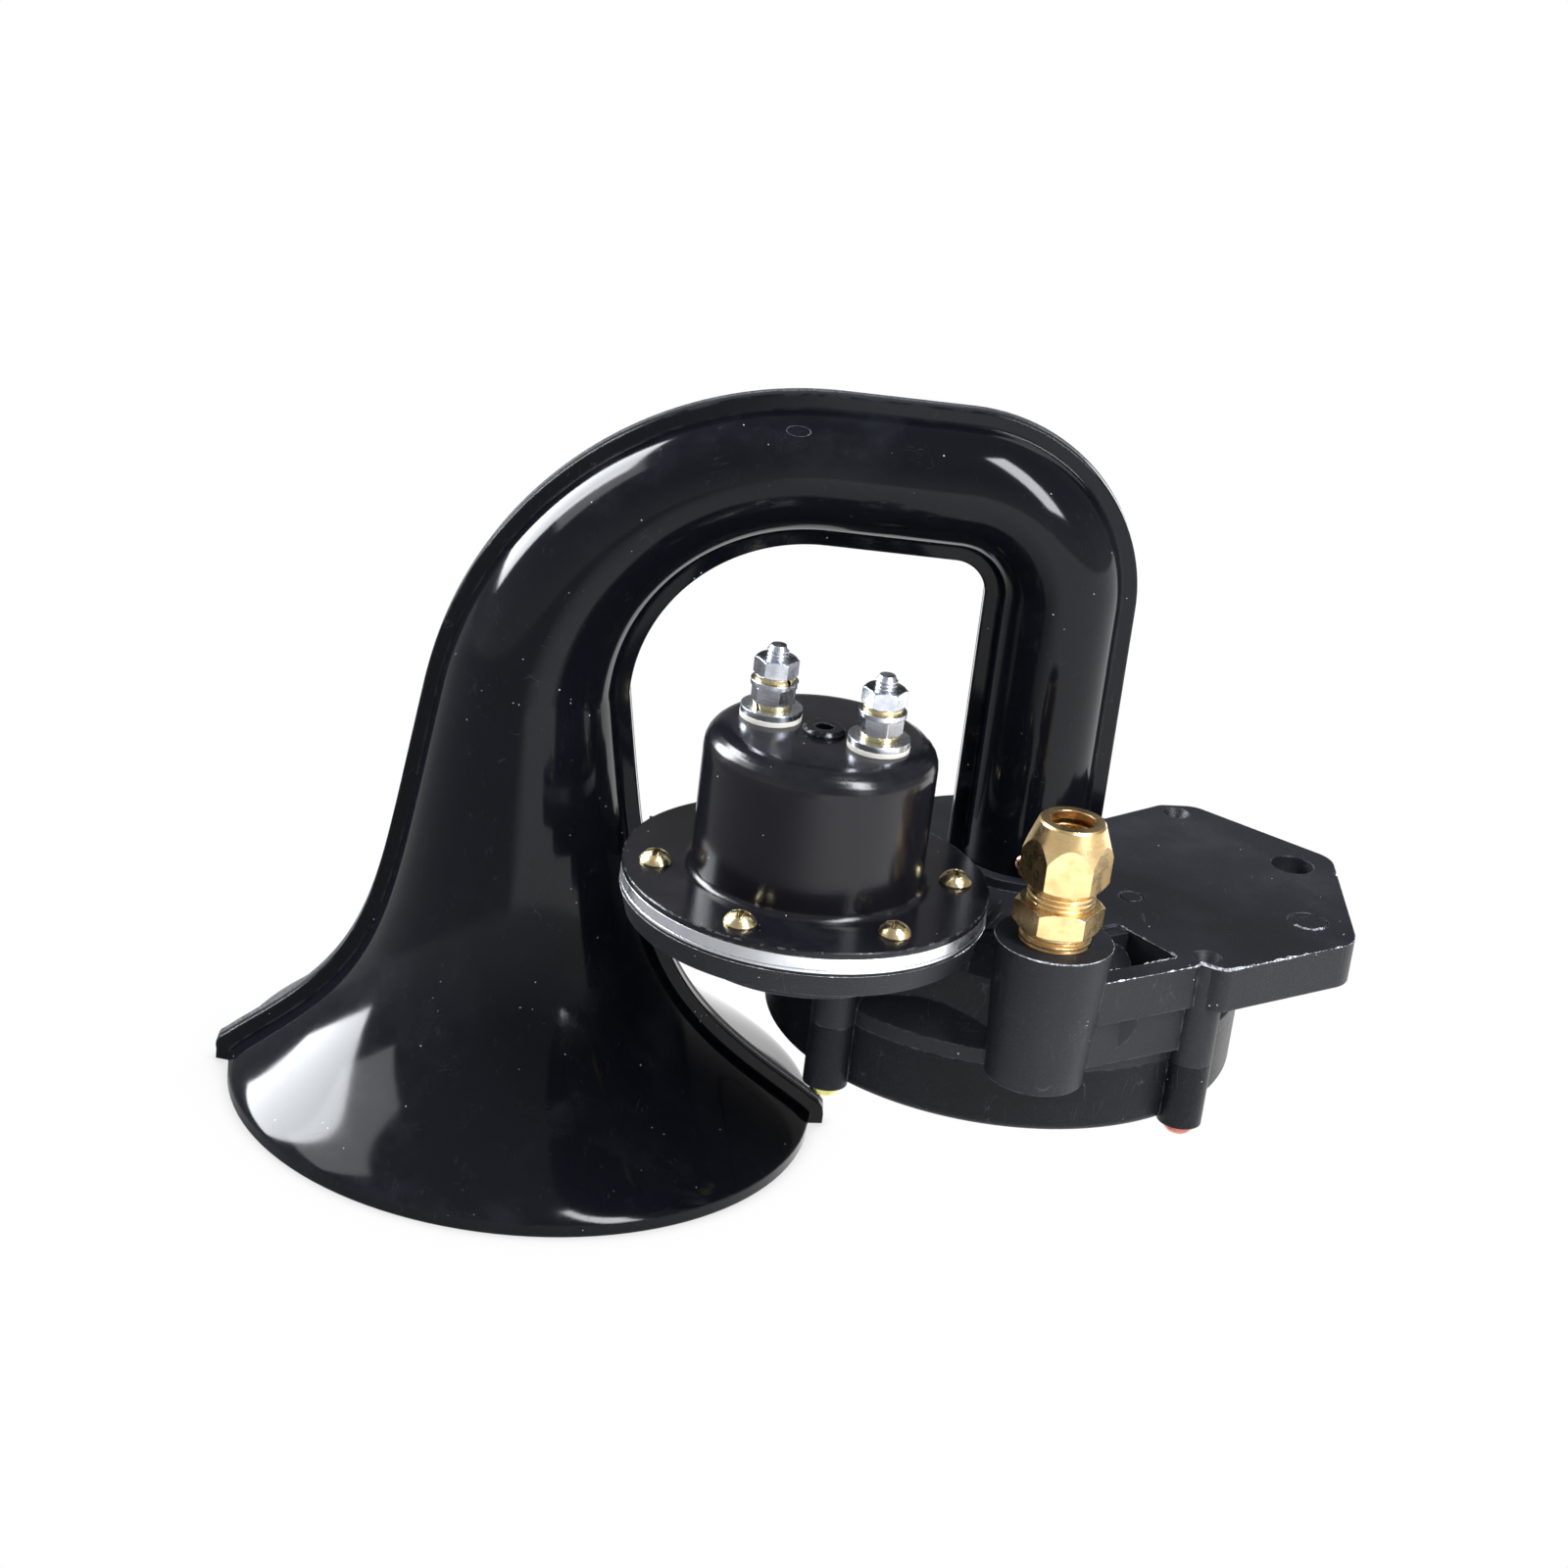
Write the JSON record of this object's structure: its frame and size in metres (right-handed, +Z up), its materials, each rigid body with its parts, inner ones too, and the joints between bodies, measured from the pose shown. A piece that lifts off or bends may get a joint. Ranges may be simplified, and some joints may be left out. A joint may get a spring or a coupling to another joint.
{
  "type": "snail horn",
  "caption": "Compressed-air snail horn with a folded black trumpet, diaphragm head on a bracket plate, solenoid valve with stud terminals and a brass compression inlet",
  "frame": {"origin": "centre of the bracket hole on the bracket plate's top face", "axes": "+Z runs up out of the plate along the bracket hole and the trumpet's leg; +X lies in the trumpet's seam plane and points away from the bell; +Y completes the right-handed frame and points away from the solenoid valve"},
  "size_m": [0.2139, 0.1304, 0.1489],
  "materials": {
    "trumpet_plastic": "high-gloss bluish black moulding",
    "head_plastic": "semi-matt black moulding with fine grain and pale flash edges",
    "black_paint": "satin black paint on pressed steel",
    "silver_zinc": "bright zinc plating",
    "yellow_zinc": "yellow passivated zinc plating",
    "soft_iron": "turned soft iron",
    "spring_sheet": "bright spring steel",
    "brass": "turned bright brass",
    "gasket_rubber": "black gasket rubber",
    "insulator_plastic": "whitish insulating plastic",
    "coil_wire": "enamelled copper wire"
  },
  "bodies": {
    "horn": {"trumpet_front_half": "trumpet_plastic", "trumpet_back_half": "trumpet_plastic", "head_body": "head_plastic", "bottom_cover": "head_plastic", "cover_screws": "yellow_zinc", "diaphragm": "spring_sheet", "diaphragm_gasket": "gasket_rubber", "press_ring": "head_plastic", "nozzle_insert": "head_plastic", "leg_screw": "yellow_zinc", "valve_seat": "brass", "valve_gasket": "gasket_rubber", "base_plate": "silver_zinc", "solenoid_cap": "black_paint", "cap_rivet": "black_paint", "flange_screws": "yellow_zinc", "coil_bobbin": "insulator_plastic", "coil_winding": "coil_wire", "guide_sleeve": "brass", "fixed_core": "soft_iron", "return_spring": "spring_sheet", "terminal_studs": "silver_zinc", "inner_insulators": "insulator_plastic", "terminal_bushes": "insulator_plastic", "contact_washers": "silver_zinc", "lower_spring_washers": "yellow_zinc", "lower_nuts": "silver_zinc", "clamp_washers": "silver_zinc", "upper_spring_washers": "yellow_zinc", "upper_nuts": "silver_zinc", "fitting_body": "brass"},
    "plunger_set": {"plunger": "soft_iron", "plunger_seal": "gasket_rubber"},
    "ferrule_set": {"ferrule": "brass"},
    "nut": {"compression_nut": "brass"}
  },
  "joints": [
    {"name": "plunger_slide", "type": "slide", "parent": "horn", "child": "plunger_set", "axis": [0, 0, 1], "range_m": [0, 0.002], "stiffness_N_per_m": 120, "springref_m": -0.004, "deforming": ["return_spring"]},
    {"name": "ferrule_slide", "type": "slide", "parent": "horn", "child": "ferrule_set", "axis": [0, 0, -1], "range_m": [0, 0.003]},
    {"name": "nut_turn", "type": "hinge", "parent": "ferrule_set", "child": "nut", "pos_m": [-0.0511, -0.0601, 0.0238], "axis": [0, 0, -1], "range_deg": [0, 1080]}
  ],
  "couplings": [
    {"joint": "nut_turn", "follows": "ferrule_slide", "rad_per_m": 6283}
  ]
}
